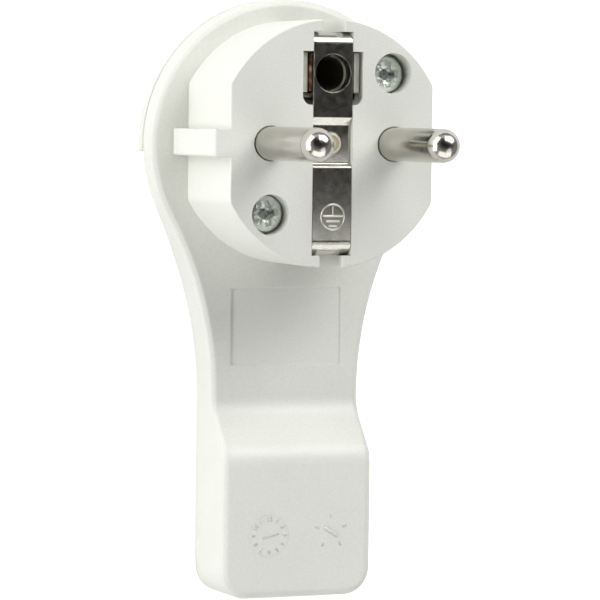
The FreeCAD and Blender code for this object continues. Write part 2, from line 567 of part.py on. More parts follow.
def make_back_cover():
    """The flat back: a plate between the side walls, with a rim round the upper head."""
    body = new_body("back_cover")
    plate_end = "(end_wall + cover_gap)"
    pad(body, "Plate", "XY_Plane", "-" + PADDLE_REAR, "-" + COVER_INSIDE,
        paddle_outline(COVER_INSET, plate_end))
    rim_half = "sqrt(%s^2 - (rim_end - head_drop)^2)" % HEAD_RADIUS
    pad(body, "Rim", "XY_Plane", "-" + PADDLE_REAR, "-%s - cover_seam" % HEAD_WALL_REAR, outline(
        (rim_half, "-rim_end", HEAD_RADIUS, "left"),
        ("0", "%s - head_drop" % HEAD_RADIUS, HEAD_RADIUS, "left"),
        ("-" + rim_half, "-rim_end")))
    lip_high, lip_side = "-%s - cover_seam" % LIP_START, "-(%s - end_corner)" % END_DROP
    pad(body, "Lip", "XY_Plane", "-" + PADDLE_REAR, "-%s - cover_seam" % LIP_FRONT, outline(
        ("waist_half", lip_high),
        ("-waist_half", lip_high),
        ("-waist_half", lip_side, "end_corner", "left"),
        ("-(waist_half - end_corner)", "-" + END_DROP),
        ("waist_half - end_corner", "-" + END_DROP, "end_corner", "left"),
        ("waist_half", lip_side)))
    back, rim_low = number("-" + PADDLE_REAR), number("-rim_end")
    head_radius = number(HEAD_RADIUS)

    def rim_edge(edge):
        on_head = edge.Curve.TypeId == "Part::GeomCircle" and edge.Curve.Radius > head_radius - NEAR
        return flat_at(edge, back) and on_head and edge.BoundBox.YMin > rim_low - NEAR
    round_edges(body, "RimEdge", "rim_bevel", rim_edge, "Chamfer")
    lip_top = number(lip_high)

    def lip_edge(edge):
        box = edge.BoundBox
        return flat_at(edge, back) and box.YMax < lip_top + NEAR and box.YLength + box.YMin < lip_top
    round_edges(body, "LipEdge", "lip_bevel", lip_edge, "Chamfer")
    skirt_inset = "(%s + skirt_sheet)" % COVER_INSET
    pocket(body, "RimHollow", "XY_Plane", "-" + COVER_INSIDE, "-%s + overcut" % HEAD_WALL_REAR,
           disc("0", "-head_drop", "%s - %s" % (HEAD_RADIUS, skirt_inset)))
    skirt_low = "-%s - root" % COVER_INSIDE
    pad(body, "Skirt", "XY_Plane", skirt_low, "-" + SKIRT_FRONT,
        paddle_outline(COVER_INSET, plate_end),
        paddle_outline(skirt_inset, "(%s + skirt_sheet)" % plate_end))
    pocket(body, "SkirtEnd", "XY_Plane", "-" + COVER_INSIDE, "-%s + overcut" % SKIRT_FRONT,
           block("-" + HEAD_RADIUS, HEAD_RADIUS, "-" + OUTSIDE, "-" + SKIRT_END))
    for side, sign in (("Upper", ""), ("Lower", "-")):
        place = (sign + SCREW_ACROSS, sign + SCREW_UP)
        pad(body, side + "Post", "XY_Plane", skirt_low, "-%s - seat_gap" % HOUSING_INSIDE,
            disc(*place, POST_RADIUS))
        pocket(body, side + "InsertSeat", "XY_Plane", "-" + INSERT_REAR, "-" + HOUSING_INSIDE,
               hexagon(*place, INSERT_FLAT))
    guide_start = "(%s + guide_gap)" % SKIRT_END
    for side, sign in (("Left", "-"), ("Right", "")):
        middle = sign + "guide_across"
        pad(body, side + "WireGuide", "XY_Plane", skirt_low, "-(%s - guide_height)" % COVER_INSIDE,
            block(middle + " - rib_sheet / 2", middle + " + rib_sheet / 2",
                  "-(%s + guide_length)" % guide_start, "-" + guide_start))
    return body


def make_pin_carrier():
    """The plug's boss: a thick-faced cup with flats, side ribs and slots for the earth clips."""
    body = new_body("pin_carrier")
    chord = "sqrt(%s^2 - %s^2)" % (BOSS_RADIUS, BOSS_FLAT)
    behind = "-%s - overcut" % HOUSING_INSIDE
    pad(body, "Boss", "XY_Plane", "-" + HOUSING_INSIDE, "0", outline(
        (BOSS_FLAT, "-" + chord),
        (BOSS_FLAT, chord, BOSS_RADIUS, "left"),
        ("-" + BOSS_FLAT, chord),
        ("-" + BOSS_FLAT, "-" + chord, BOSS_RADIUS, "left")))
    round_edges(body, "FlatEdges", "flat_round", lambda edge: edge.BoundBox.ZLength > NEAR)

    def front_rim(edge):
        return flat_at(edge, 0)
    round_edges(body, "FrontRim", "boss_edge", front_rim, "Chamfer")
    pad(body, "SideRibs", "XY_Plane", "-boss_depth", "0",
        block("-" + RIB_REACH, RIB_REACH, "-rib_width / 2", "rib_width / 2"))
    reach = number(RIB_REACH)

    def rib_edge(edge):
        box = edge.BoundBox
        return min(abs(box.XMin), abs(box.XMax)) > reach - NEAR
    round_edges(body, "RibEdges", "rib_edge", rib_edge)
    pocket(body, "Spigot", "XY_Plane", behind, "-boss_depth",
           disc("0", "0", SPIGOT_RADIUS), disc("0", "0", "%s + overcut" % RIB_REACH))
    pocket(body, "Cavity", "XY_Plane", behind, "-face_wall", disc("0", "0", CAVITY_RADIUS))
    for side, sign in (("Upper", ""), ("Lower", "-")):
        place = (sign + SCREW_ACROSS, sign + SCREW_UP)
        pad(body, side + "Post", "XY_Plane", "-" + HOUSING_INSIDE, "-face_wall + root",
            disc(*place, POST_RADIUS))
        pocket(body, side + "Recess", "XY_Plane", "-recess_depth", "overcut",
               disc(*place, RECESS_RADIUS))
        pocket(body, side + "ScrewHole", "XY_Plane", behind, "0",
               disc(*place, "shank_radius + shank_gap"))
    for name, low, radius in (("PinHoles", "-face_wall - overcut", "neck_radius + neck_gap"),
                              ("PinRims", "-pin_rim", "pin_radius + pin_gap")):
        pocket(body, name, "XY_Plane", low, "overcut",
               disc(PIN_ACROSS, "0", radius), disc("-" + PIN_ACROSS, "0", radius))
    channel_floor = "-%s - strip_gap" % STRIP_REAR
    leg_outside = "(%s + strip_gap)" % CLIP_REACH
    leg_inside = "(%s - strip_sheet - strip_gap)" % CLIP_REACH
    pocket(body, "StripChannel", "XY_Plane", channel_floor, "overcut",
           block("-" + CHANNEL_HALF, CHANNEL_HALF, "-" + leg_outside, leg_outside))
    pocket(body, "JoggleSeat", "XY_Plane", channel_floor + " - joggle_depth", "overcut",
           block("-" + CHANNEL_HALF, CHANNEL_HALF, "-joggle_low - joggle_shift - strip_gap",
                 "joggle_high + joggle_shift + strip_gap"))
    beyond = "(%s + overcut)" % BOSS_RADIUS
    for side, sign, seat, slot in (
            ("Upper", "", (leg_inside, leg_outside), (leg_outside, beyond)),
            ("Lower", "-", (leg_outside, leg_inside), (beyond, leg_outside))):
        pocket(body, side + "LegSeat", "XY_Plane", "-strip_leg - leg_gap", "overcut",
               block("-" + CHANNEL_HALF, CHANNEL_HALF, sign + seat[0], sign + seat[1]))
        pocket(body, side + "ClipSlot", "XY_Plane", "-boss_depth", "overcut",
               block("-slot_width / 2", "slot_width / 2", sign + slot[0], sign + slot[1]))
    wall, floor = number(leg_inside), number(channel_floor)

    def bend_seat(edge):
        box = edge.BoundBox
        return flat_at(edge, floor) and box.YLength < NEAR and abs(abs(box.YMin) - wall) < NEAR
    round_edges(body, "BendSeats", "strip_bend - strip_sheet - strip_gap", bend_seat)
    corner_up, corner_in = "%s + window_round" % WINDOW_LOW, "(%s - window_round)" % WINDOW_HALF
    pocket(body, "EarthWindow", "XY_Plane", "-%s - tab_gap" % SPRING_REAR, "overcut", outline(
        ("-" + WINDOW_HALF, corner_up, "window_round", "left"),
        ("-" + corner_in, WINDOW_LOW),
        (corner_in, WINDOW_LOW, "window_round", "left"),
        (WINDOW_HALF, corner_up),
        (WINDOW_HALF, WINDOW_TOP),
        ("-" + WINDOW_HALF, WINDOW_TOP)))
    pocket(body, "StudHole", "XY_Plane", "-face_wall - overcut", "overcut",
           disc("0", "0", "stud_radius + stud_gap"))
    return body


def make_line_pin(label, across):
    """A turned line pin with a ball tip in three steps, a collar and a tail."""
    body = new_body(label)
    tail_end = "-(%s + tail_length)" % BRIDGE_REAR
    ball = [("pin_radius * cos(%s) / cos(11.25)" % turn,
             "pin_reach - pin_radius + pin_radius * sin(%s) / cos(11.25)" % turn)
            for turn in (11.25, 33.75, 56.25, 78.75)]
    revolve(body, "Turning",
            ("0", tail_end),
            ("tail_radius", tail_end),
            ("tail_radius", "-" + COLLAR_REAR),
            ("collar_radius", "-" + COLLAR_REAR),
            ("collar_radius", "-face_wall"),
            ("neck_radius", "-face_wall"),
            ("neck_radius", "neck_end"),
            ("pin_radius", "neck_end"),
            *ball,
            ("0", "pin_reach"))
    move(body, across)
    return body


def make_line_terminal(label, across):
    """A brass block on the pin's tail, with a cross hole for the wire."""
    body = new_body(label)
    pad(body, "Block", "XY_Plane", "-" + TERMINAL_REAR, "-" + BRIDGE_REAR,
        block("-terminal_half", "terminal_half", "-terminal_half", "terminal_half"))
    pocket(body, "TailBore", "XY_Plane", "-(%s + tail_length)" % BRIDGE_REAR, "0",
           disc("0", "0", "tail_radius"))
    pocket(body, "WireHole", "XZ_Plane", "-terminal_half - overcut", "terminal_half + overcut",
           disc("0", "-" + WIRE_LEVEL, "wire_radius"))
    pocket(body, "ScrewBore", "XY_Plane", "-%s - overcut" % TERMINAL_REAR, "-" + WIRE_LEVEL,
           disc("0", "0", "terminal_screw_radius"))
    move(body, across)
    return body


def make_screw(label, x, y, seat, tip, shank, head, height):
    """A slotted screw driven from behind: its head's seat and its tip are given."""
    body = new_body(label)
    rear = "-(%s) - %s" % (seat, height)
    pad(body, "Shank", "XY_Plane", rear, "-(%s)" % tip, disc("0", "0", shank))
    pad(body, "Head", "XY_Plane", rear, "-(%s)" % seat, disc("0", "0", head))
    pocket(body, "Slot", "XY_Plane", rear + " - overcut", rear + " + driver_depth",
           block("-driver_slot / 2", "driver_slot / 2",
                 "-%s - overcut" % head, "%s + overcut" % head))
    move(body, x, y)
    return body


def make_grub_screw(label, across):
    """A headless slotted screw that presses the wire on to the floor of its terminal."""
    body = new_body(label)
    rear = "-%s - terminal_screw_proud" % TERMINAL_REAR
    pad(body, "Shank", "XY_Plane", rear, "-" + WIRE_LEVEL, disc("0", "0", "terminal_screw_radius"))
    pocket(body, "Slot", "XY_Plane", rear + " - overcut", rear + " + driver_depth",
           block("-driver_slot / 2", "driver_slot / 2",
                 "-terminal_screw_radius - overcut", "terminal_screw_radius + overcut"))
    move(body, across)
    return body


def make_case_screw(label, sign):
    """A raised-head case screw, driven from the front."""
    body = new_body(label)
    rim = "-(recess_depth - head_screw_rim)"
    top = "(%s + head_screw_bevel)" % rim
    tip = "-(%s - tip_gap)" % INSERT_REAR
    revolve(body, "Turning",
            ("0", tip),
            ("shank_radius", tip),
            ("shank_radius", "-recess_depth"),
            ("head_screw_radius", "-recess_depth"),
            ("head_screw_radius", rim),
            ("head_screw_radius - head_screw_bevel", top),
            ("0", top))
    move(body, sign + SCREW_ACROSS, sign + SCREW_UP)
    return body


def make_case_insert(label, sign):
    """A hexagonal threaded insert pressed into a post of the back cover."""
    body = new_body(label)
    pad(body, "Sleeve", "XY_Plane", "-" + INSERT_REAR, "-(%s - insert_length)" % INSERT_REAR,
        hexagon("0", "0", INSERT_FLAT), disc("0", "0", "shank_radius"))
    move(body, sign + SCREW_ACROSS, sign + SCREW_UP)
    return body


def make_earth_strip():
    """The folded earth strip: two side contacts joined across the face, with a joggle."""
    body = new_body("earth_strip")
    face, rear, foot = "-strip_sunk", "-" + STRIP_REAR, "-strip_leg"
    inner_bend = "(strip_bend - strip_sheet)"
    bend_y = "(%s - strip_bend)" % CLIP_REACH
    bend_z = "-(strip_sunk + strip_bend)"
    inner_y = "(%s - strip_sheet)" % CLIP_REACH
    low_face = "-(strip_sunk + joggle_depth)"
    low_rear = "-(%s + joggle_depth)" % STRIP_REAR
    pad(body, "Fold", "YZ_Plane", "-" + STRIP_HALF, STRIP_HALF, outline(
        (CLIP_REACH, foot),
        (CLIP_REACH, bend_z, "strip_bend", "left"),
        (bend_y, face),
        ("joggle_high", face),
        ("joggle_high - joggle_run", low_face),
        ("-joggle_low + joggle_steep", low_face),
        ("-joggle_low", face),
        ("-" + bend_y, face, "strip_bend", "left"),
        ("-" + CLIP_REACH, bend_z),
        ("-" + CLIP_REACH, foot),
        ("-" + inner_y, foot),
        ("-" + inner_y, bend_z, inner_bend, "right"),
        ("-" + bend_y, rear),
        ("-joggle_low - joggle_shift", rear),
        ("-joggle_low + joggle_steep - joggle_shift", low_rear),
        ("joggle_high - joggle_run + joggle_shift", low_rear),
        ("joggle_high + joggle_shift", rear),
        (bend_y, rear, inner_bend, "right"),
        (inner_y, bend_z),
        (inner_y, foot)))
    high, behind = number("joggle_high"), number(rear)

    def joggle_edge(edge):
        box = edge.BoundBox
        straight = box.YLength < NEAR and box.ZLength < NEAR
        return straight and abs(box.YMin) < high + NEAR and box.ZMin > behind + NEAR
    round_edges(body, "JoggleBends", "joggle_round", joggle_edge)
    pocket(body, "EarthHole", "XY_Plane", "-%s - overcut" % STRIP_REAR, "overcut",
           disc("0", EARTH_UP, EARTH_HOLE))
    pocket(body, "StudHole", "XY_Plane", low_rear + " - overcut", "overcut",
           disc("0", "0", "stud_radius + stud_gap"))
    return body


def make_pin_bridge():
    """The insulating bridge that holds both pins, with a stud staked through the strip."""
    body = new_body("pin_bridge")
    end = "(%s + bridge_end)" % PIN_ACROSS
    pad(body, "Bar", "XY_Plane", "-" + BRIDGE_REAR, "-" + COLLAR_REAR,
        block("-" + end, end, "-bridge_half", "bridge_half"))
    pad(body, "Arm", "XY_Plane", "-" + BRIDGE_REAR, "-" + COLLAR_REAR,
        block("-arm_half", "arm_half", "0", "%s + arm_past" % EARTH_SCREW_UP))
    pad(body, "TerminalPost", "XY_Plane", "-" + TAB_LEVEL, "-%s + root" % BRIDGE_REAR,
        disc("0", EARTH_SCREW_UP, "earth_post"))
    pad(body, "Stud", "XY_Plane", "-%s - root" % COLLAR_REAR, "-stud_sunk",
        disc("0", "0", "stud_radius"))
    top = number("-stud_sunk")

    def stud_edge(edge):
        return flat_at(edge, top)
    round_edges(body, "StudEnd", "stud_bevel", stud_edge, "Chamfer")
    pocket(body, "PinHoles", "XY_Plane", "-%s - overcut" % BRIDGE_REAR, "0",
           disc(PIN_ACROSS, "0", "tail_radius"), disc("-" + PIN_ACROSS, "0", "tail_radius"))
    pocket(body, "EarthScrewBore", "XY_Plane", "-%s - overcut" % TAB_LEVEL,
           "-%s + earth_screw_bite" % BRIDGE_REAR, disc("0", EARTH_SCREW_UP, "terminal_screw_radius"))
    return body


def make_earth_socket():
    """The bronze socket that takes the earth pin of a type E outlet, with its tab."""
    body = new_body("earth_socket")
    pad(body, "Tube", "XY_Plane", "-" + SOCKET_REAR, "-socket_front",
        disc("0", EARTH_UP, SOCKET_OUT))
    tab_rear = "-%s - tab_sheet" % TAB_LEVEL
    pad(body, "Tab", "XY_Plane", tab_rear, "-" + TAB_LEVEL,
        block("-tab_half", "tab_half", "%s - tab_past" % EARTH_SCREW_UP,
              "%s - socket_radius - socket_wall / 2" % EARTH_UP))
    pocket(body, "Bore", "XY_Plane", "-%s - overcut" % SOCKET_REAR, "0",
           disc("0", EARTH_UP, "socket_radius"))
    pocket(body, "Slit", "XY_Plane", "-(%s - slit_end)" % TAB_LEVEL, "0",
           block("-socket_slit / 2", "socket_slit / 2", "%s - %s - overcut" % (EARTH_UP, SOCKET_OUT),
                 "%s + %s + overcut" % (EARTH_UP, SOCKET_OUT)))
    pocket(body, "ScrewHole", "XY_Plane", tab_rear + " - overcut", "-%s + root" % TAB_LEVEL,
           disc("0", EARTH_SCREW_UP, "terminal_screw_radius + shank_gap"))
    return body


def make_contact_spring():
    """The steel spring that hugs the earth socket: two arms and a web, pinched inwards."""
    body = new_body("contact_spring")
    outside, inside = SPRING_OUT, "(%s - spring_sheet)" % SPRING_OUT
    top = "(%s - spring_gap)" % WINDOW_TOP
    touch = "(%s + spring_touch)" % SOCKET_OUT
    web_top = "(%s - %s)" % (EARTH_UP, touch)
    web_low = "(%s - spring_web)" % web_top
    pad(body, "Fold", "XY_Plane", "-" + SPRING_REAR, "-spring_front", outline(
        ("-" + outside, web_low), (outside, web_low), (outside, top),
        (inside, top), (inside, web_top), ("-" + inside, web_top),
        ("-" + inside, top), ("-" + outside, top)))
    pocket(body, "FrontNotch", "XY_Plane", "-face_wall - spring_gap", "0",
           block("-%s - overcut" % outside, "%s + overcut" % outside,
                 "%s - overcut" % web_low, "%s + spring_step" % web_top))
    rooted = "(%s + spring_sheet / 2)" % inside
    for side, low, high in (("Left", "-" + rooted, "-" + touch), ("Right", touch, rooted)):
        pad(body, side + "Pinch", "XY_Plane", "-pinch_rear", "-pinch_front",
            block(low, high, "%s - pinch_half" % EARTH_UP, "%s + pinch_half" % EARTH_UP))
    return body


def make_earth_clamp():
    """The plate that presses the earth wire on to the socket's tab."""
    body = new_body("earth_clamp")
    front = "(%s + tab_sheet)" % TAB_LEVEL
    pad(body, "Plate", "XY_Plane", "-%s - clamp_sheet" % front, "-" + front,
        block("-clamp_half", "clamp_half", "%s - clamp_half" % EARTH_SCREW_UP,
              "%s + clamp_half" % EARTH_SCREW_UP))
    pocket(body, "ScrewHole", "XY_Plane", "-%s - clamp_sheet - overcut" % front, "0",
           disc("0", EARTH_SCREW_UP, "terminal_screw_radius + shank_gap"))
    return body


def make_cord_clamp():
    """The arched bar that grips the cord's sheath in the handle."""
    body = new_body("cord_clamp")
    front, rear = "-" + CLAMP_LEVEL, "-(%s + clamp_bar)" % CLAMP_LEVEL
    foot = "(%s - clamp_post)" % CLAMP_ACROSS
    arch_foot = "(%s - clamp_head_radius - clamp_head_gap)" % CLAMP_ACROSS
    arch_top = "(%s - arch_slope)" % arch_foot
    arch_inside = "(%s - arch_inset)" % arch_top
    pad(body, "Bar", "XZ_Plane", "-(%s + clamp_width / 2)" % CLAMP_DROP,
        "-(%s - clamp_width / 2)" % CLAMP_DROP, outline(
            ("-" + CLAMP_REACH, front),
            ("-" + CLAMP_REACH, rear),
            ("-" + arch_foot, rear),
            ("-" + arch_top, rear + " - arch_rise"),
            (arch_top, rear + " - arch_rise"),
            (arch_foot, rear),
            (CLAMP_REACH, rear),
            (CLAMP_REACH, front),
            (foot, front),
            (arch_inside, front + " - arch_rise"),
            ("-" + arch_inside, front + " - arch_rise"),
            ("-" + foot, front)))
    pocket(body, "ScrewHoles", "XY_Plane", rear + " - overcut", "0",
           disc(CLAMP_ACROSS, "-" + CLAMP_DROP, "clamp_screw_radius + shank_gap"),
           disc("-" + CLAMP_ACROSS, "-" + CLAMP_DROP, "clamp_screw_radius + shank_gap"))
    return body


pieces = [make_housing(), make_back_cover(), make_pin_carrier(), make_earth_strip(),
          make_pin_bridge(), make_earth_socket(), make_contact_spring(), make_earth_clamp(),
          make_cord_clamp()]
pieces.append(make_screw("earth_terminal_screw", "0", EARTH_SCREW_UP,
                         "%s + tab_sheet + clamp_sheet" % TAB_LEVEL,
                         "%s - earth_screw_bite" % BRIDGE_REAR, "terminal_screw_radius",
                         "earth_head_radius", "earth_head_height"))
for side, sign in (("left", "-"), ("right", "")):
    pieces.append(make_line_pin("line_pin_" + side, sign + PIN_ACROSS))
    pieces.append(make_line_terminal("line_terminal_" + side, sign + PIN_ACROSS))
    pieces.append(make_grub_screw("terminal_screw_" + side, sign + PIN_ACROSS))
    pieces.append(make_screw("clamp_screw_" + side, sign + CLAMP_ACROSS, "-" + CLAMP_DROP,
                             "%s + clamp_bar" % CLAMP_LEVEL, "%s + clamp_screw_end" % BLOCK_INSIDE,
                             "clamp_screw_radius", "clamp_head_radius", "clamp_head_height"))
for side, sign in (("upper", ""), ("lower", "-")):
    pieces.append(make_case_screw("case_screw_" + side, sign))
    pieces.append(make_case_insert("case_insert_" + side, sign))

doc.recompute()
for item in doc.Objects:
    if "Invalid" in item.State or "Error" in item.State:
        raise RuntimeError("%s failed: %s" % (item.Name, item.State))
os.makedirs("parts", exist_ok=True)
for piece in pieces:
    shape = piece.Shape
    if shape.isNull() or not shape.isValid() or len(shape.Solids) != 1:
        raise RuntimeError("%s is not one valid solid" % piece.Label)
    shape.exportStep(os.path.join("parts", piece.Label + ".step"))
    print("%-22s %9.2f mm3" % (piece.Label, shape.Volume))
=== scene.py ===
import math

import bmesh
import bpy
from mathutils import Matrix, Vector


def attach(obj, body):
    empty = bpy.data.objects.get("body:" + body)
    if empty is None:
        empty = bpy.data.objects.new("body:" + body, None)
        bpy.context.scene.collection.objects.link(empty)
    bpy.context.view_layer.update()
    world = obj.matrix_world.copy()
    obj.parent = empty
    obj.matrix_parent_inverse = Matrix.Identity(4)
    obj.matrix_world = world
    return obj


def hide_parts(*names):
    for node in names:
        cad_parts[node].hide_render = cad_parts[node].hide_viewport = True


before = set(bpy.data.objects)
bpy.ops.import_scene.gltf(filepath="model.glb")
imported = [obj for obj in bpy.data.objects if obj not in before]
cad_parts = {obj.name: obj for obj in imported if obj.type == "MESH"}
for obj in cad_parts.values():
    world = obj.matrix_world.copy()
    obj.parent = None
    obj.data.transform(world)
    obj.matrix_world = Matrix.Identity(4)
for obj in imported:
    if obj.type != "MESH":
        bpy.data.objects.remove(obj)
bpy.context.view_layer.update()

# Shapes are in millimetres until add_piece turns them into metres; nodes, lamps and the camera are in metres.
# The origin is on the boss's face, midway between the pins, and the cord's end points along -Y.
MM = 0.001
BACK_Z = -22.8                      # the flat back that the plug lies on
BLOCK_Z = -11.3                     # the face of the handle's block
PIN_X = 9.5
PIN_RADIUS = 2.4
PIN_REACH = 19.0
SCREW_PLACE = (9.23, 9.97)          # the upper case screw, with the lower one opposite
SCREW_RADIUS = 2.65
STRIP_Z = -0.05                     # the face of the earth strip
SOCKET_Y = 10                       # the earth socket's axis


# ---------------------------------------------------------------- node materials

class Tree:
    """A short way to write a material's node tree."""

    def __init__(self, name):
        self.material = bpy.data.materials.new(name)
        self.material.use_nodes = True
        self.nodes = self.material.node_tree.nodes
        self.links = self.material.node_tree.links
        self.nodes.clear()
        self.output = self.nodes.new("ShaderNodeOutputMaterial")
        self.shader = None
        self.place = None

    def node(self, kind, **settings):
        made = self.nodes.new("ShaderNode" + kind)
        for key, value in settings.items():
            setattr(made, key, value)
        return made

    def join(self, source, target):
        self.links.new(source, target)

    def principled(self, color, metallic, roughness, **sockets):
        self.shader = self.node("BsdfPrincipled")
        self.shader.inputs["Base Color"].default_value = (*color, 1)
        self.shader.inputs["Metallic"].default_value = metallic
        self.shader.inputs["Roughness"].default_value = roughness
        for key, value in sockets.items():
            self.shader.inputs[key.replace("_", " ")].default_value = value
        self.join(self.shader.outputs[0], self.output.inputs[0])
        return self

    def coordinates(self, scale=(1, 1, 1)):
        """Places on the object, stretched by a scale."""
        if self.place is None:
            self.place = self.node("TexCoord")
        if scale == (1, 1, 1):
            return self.place.outputs["Object"]
        mapping = self.node("Mapping")
        mapping.inputs["Scale"].default_value = scale
        self.join(self.place.outputs["Object"], mapping.inputs[0])
        return mapping.outputs[0]

    def axes(self):
        """The object's X, Y and Z, one socket each."""
        split = self.node("SeparateXYZ")
        self.join(self.coordinates(), split.inputs[0])
        return split.outputs

    def noise(self, scale, detail=2, stretch=(1, 1, 1)):
        made = self.node("TexNoise")
        made.inputs["Scale"].default_value = scale
        made.inputs["Detail"].default_value = detail
        self.join(self.coordinates(stretch), made.inputs["Vector"])
        return made.outputs["Fac"]

    def calc(self, operation, *values):
        """A sum on sockets and numbers."""
        made = self.node("Math", operation=operation)
        for socket, value in zip(made.inputs, values):
            if isinstance(value, (int, float)):
                socket.default_value = value
            else:
                self.join(value, socket)
        return made.outputs[0]

    def spread(self, value, low, high, start=0.0, end=1.0):
        """Values from start to end, laid out from low to high."""
        made = self.node("MapRange")
        made.inputs["From Min"].default_value = start
        made.inputs["From Max"].default_value = end
        made.inputs["To Min"].default_value = low
        made.inputs["To Max"].default_value = high
        self.join(value, made.inputs["Value"])
        return made.outputs["Result"]

    def tint(self, value, first, second):
        """The first colour at 0, the second at 1."""
        made = self.node("Mix", data_type="RGBA")
        made.inputs["A"].default_value = (*first, 1)
        made.inputs["B"].default_value = (*second, 1)
        self.join(value, made.inputs["Factor"])
        return made.outputs["Result"]

    def softened(self, radius):
        """The normal, with edges rounded to a radius."""
        made = self.node("Bevel", samples=6)
        made.inputs["Radius"].default_value = radius
        return made.outputs["Normal"]

    def bump(self, height, strength, distance, under=None):
        """A relief on the shader, laid over the relief under it."""
        made = self.node("Bump")
        made.inputs["Strength"].default_value = strength
        made.inputs["Distance"].default_value = distance
        self.join(height, made.inputs["Height"])
        if under is not None:
            self.join(under, made.inputs["Normal"])
        self.join(made.outputs["Normal"], self.shader.inputs["Normal"])
        return made.outputs["Normal"]

    def color(self, value):
        self.join(value, self.shader.inputs["Base Color"])

    def roughness(self, value):
        self.join(value, self.shader.inputs["Roughness"])


def times(color, *factors):
    """A colour times one factor, or times one for each channel."""
    if len(factors) == 1:
        factors = factors * 3
    return tuple(channel * factor for channel, factor in zip(color, factors))


def moulded(name, color, roughness, grain=0.35, edge=0.0005):
    """Injection-moulded plastic: a fine spark texture, with faint cloudiness and softened edges."""
    tree = Tree(name).principled(color, 0, roughness, IOR=1.5)
    cloud = tree.spread(tree.noise(90, 3), 0, 0.5, 0.35, 0.65)
    speck = tree.spread(tree.noise(3400, 1), -0.3, 0.8, 0.3, 0.7)
    tree.color(tree.tint(tree.calc("ADD", cloud, speck), times(color, 1.012), times(color, 0.955)))
    tree.roughness(tree.spread(tree.noise(700, 2), roughness - 0.04, roughness + 0.05))
    tree.bump(tree.noise(4200, 2), grain, 0.00004, tree.softened(edge))
    return tree.material


def metal(name, color, roughness, spread=0.05, scale=900, grain=0.15):
    """Plated or bare metal with fine working marks and dull patches."""
    tree = Tree(name).principled(color, 1, roughness)
    marks = tree.noise(scale, 4)
    patches = tree.spread(tree.noise(240, 3), 0, 1, 0.42, 0.75)
    tree.color(tree.tint(patches, color, times(color, 0.86)))
    tree.roughness(tree.spread(marks, roughness - spread, roughness + spread, 0.3, 0.7))
    tree.bump(marks, grain, 0.00002)
    return tree.material


CROWN = -4.8                        # how far the strip's lower half bows, per metre squared
SAG = -10.5                         # the same for the eased step at its middle
SAG_SPAN = (-0.0035, 0.004)
BAND_Y = -0.01425                   # the milled band
BAND_EDGE = (0.0003, 0.0005)


def pressed_sheet(name, color, roughness):
    """Nickelled sheet: slightly crowned by the press, with a milled band near its lower bend."""
    tree = Tree(name).principled(color, 1, roughness)
    along = tree.axes()["Y"]
    crown = tree.calc("MULTIPLY", tree.calc("POWER", tree.calc("MINIMUM", along, 0), 2), CROWN)
    sag = tree.calc("POWER", tree.spread(along, 0.0075, 0, *SAG_SPAN), 2)
    form = tree.bump(tree.calc("MULTIPLY_ADD", sag, SAG, crown), 1, 1, tree.softened(0.00012))
    rolled = tree.bump(tree.noise(5000, 2), 0.08, 0.00002, form)
    away = tree.calc("ABSOLUTE", tree.calc("SUBTRACT", along, BAND_Y))
    teeth = tree.calc("MULTIPLY", tree.spread(away, 1, 0, *BAND_EDGE), tree.noise(3800, 1, (1, 0.7, 1)))
    tree.bump(teeth, 0.3, 0.0001, rolled)
    grain = tree.tint(tree.spread(tree.noise(6500, 1), 0, 1, 0.3, 0.7), times(color, 0.86), times(color, 1.1))
    worn = tree.node("Mix", data_type="RGBA")
    tree.join(tree.spread(tree.noise(240, 3), 0, 0.2, 0.42, 0.75), worn.inputs["Factor"])
    tree.join(grain, worn.inputs["A"])
    worn.inputs["B"].default_value = (0, 0, 0, 1)
    tree.color(worn.outputs["Result"])
    tree.roughness(tree.spread(tree.noise(900, 4), roughness - 0.04, roughness + 0.05, 0.3, 0.7))
    return tree.material


def stud_plastic(name, color, roughness):
    """Cream plastic; on its dished stud, a painted highlight at rim and middle and painted shade between."""
    tree = Tree(name).principled(color, 0, roughness, IOR=1.5)
    axes = tree.axes()
    flat = tree.node("CombineXYZ")
    tree.join(axes["X"], flat.inputs["X"])
    tree.join(axes["Y"], flat.inputs["Y"])
    reach = tree.node("VectorMath", operation="LENGTH")
    tree.join(flat.outputs[0], reach.inputs[0])
    rim = tree.spread(reach.outputs["Value"], 0, 1, 0.0011, 0.0013)
    middle = tree.spread(reach.outputs["Value"], 1, 0, 0.0002, 0.0009)
    dish_shade_and_relief = tree.calc("MAXIMUM", rim, middle)
    # painted shade and highlight on the stud: darker and yellower between its rim and middle, paler at both; the
    # same mask bumps the dish
    tree.color(tree.tint(dish_shade_and_relief, times(color, 0.6, 0.56, 0.46), color))
    tree.roughness(tree.spread(tree.noise(700, 2), roughness - 0.04, roughness + 0.05))
    tree.bump(dish_shade_and_relief, 0.6, 0.0002)
    return tree.material


def plated_bronze(name, color, plating, roughness):
    """Bronze sheet: nickelled in the socket's bore, bare at its sheared outer edge."""
    tree = Tree(name).principled(color, 1, roughness)
    inner = tree.spread(tree.axes()["X"], 0, 1, -0.0028, -0.0026)
    tree.color(tree.tint(inner, color, plating))
    marks = tree.noise(900, 4)
    tree.roughness(tree.spread(marks, roughness - 0.06, roughness + 0.06, 0.3, 0.7))
    tree.bump(marks, 0.2, 0.00003)
    return tree.material


def bare_bronze(name, color, roughness):
    """Unplated bronze, much darker in random patches."""
    tree = Tree(name).principled(color, 0.7, roughness)
    patches = tree.noise(900, 2, (1, 0.5, 1))
    dark_patches = tree.spread(patches, 0, 1, 0.44, 0.58)
    tree.color(tree.tint(dark_patches, color, times(color, 0.3, 0.22, 0.18)))
    tree.roughness(tree.spread(tree.noise(1500, 2), roughness - 0.08, roughness + 0.1))
    tree.bump(patches, 0.5, 0.0001)
    return tree.material


